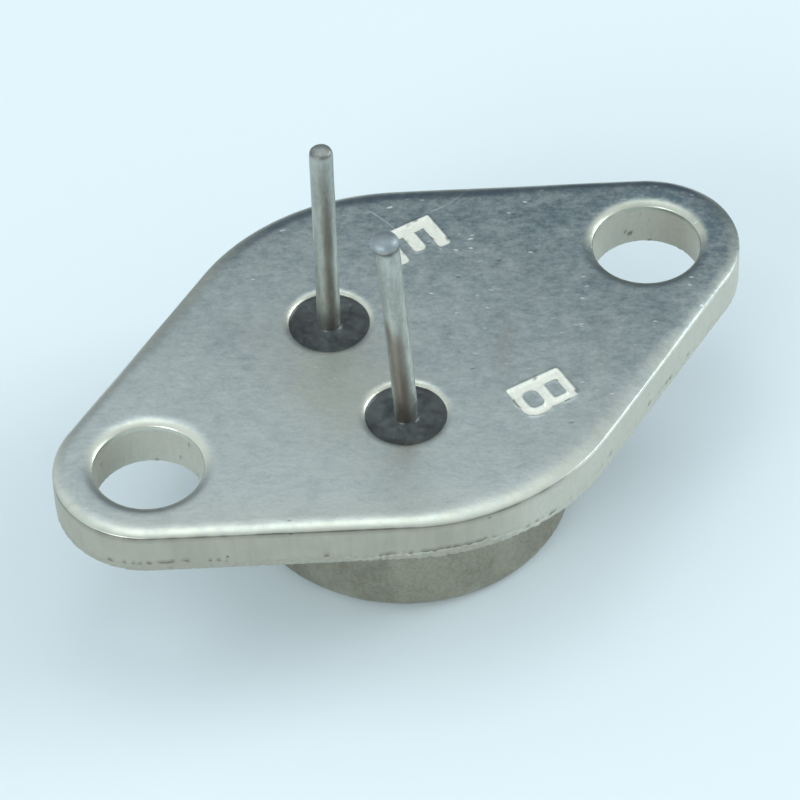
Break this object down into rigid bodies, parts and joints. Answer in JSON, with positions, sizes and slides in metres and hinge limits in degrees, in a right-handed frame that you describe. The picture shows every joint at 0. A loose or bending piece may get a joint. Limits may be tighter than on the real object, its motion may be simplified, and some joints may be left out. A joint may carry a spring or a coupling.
{
  "type": "power transistor",
  "caption": "Power transistor in a small metal case: diamond mounting flange with a hole at each end, two stiff leads in glass seals, welded can on the other side.",
  "frame": {"origin": "centre of the seating face, midway between the two mounting holes", "axes": "+Z out of the seating face, along the leads; +X along the line of the mounting holes, away from the leads; +Y towards the emitter lead"},
  "size_m": [0.026, 0.0158, 0.0151],
  "materials": {
    "plated_steel": "satin nickel plate over blanked steel",
    "drawn_steel": "dull nickel plate over drawn steel",
    "lead_wire": "nickel-plated iron-nickel wire",
    "seal_glass": "dark opaque sealing glass",
    "copper": "bare copper",
    "braze": "silver braze",
    "solder": "dull solder",
    "silicon": "polished silicon",
    "aluminium": "soft bright aluminium",
    "coating": "clear silicone coating"
  },
  "bodies": {
    "root": {"header_plate": "plated_steel", "can": "drawn_steel", "emitter_seal_glass": "seal_glass", "base_seal_glass": "seal_glass", "emitter_lead": "lead_wire", "base_lead": "lead_wire", "spreader_braze": "braze", "heat_spreader": "copper", "chip_solder": "solder", "chip": "silicon", "emitter_metal": "aluminium", "base_metal": "aluminium", "chip_coating": "coating", "emitter_bond_wire": "aluminium", "base_bond_wire": "aluminium"}
  },
  "joints": []
}
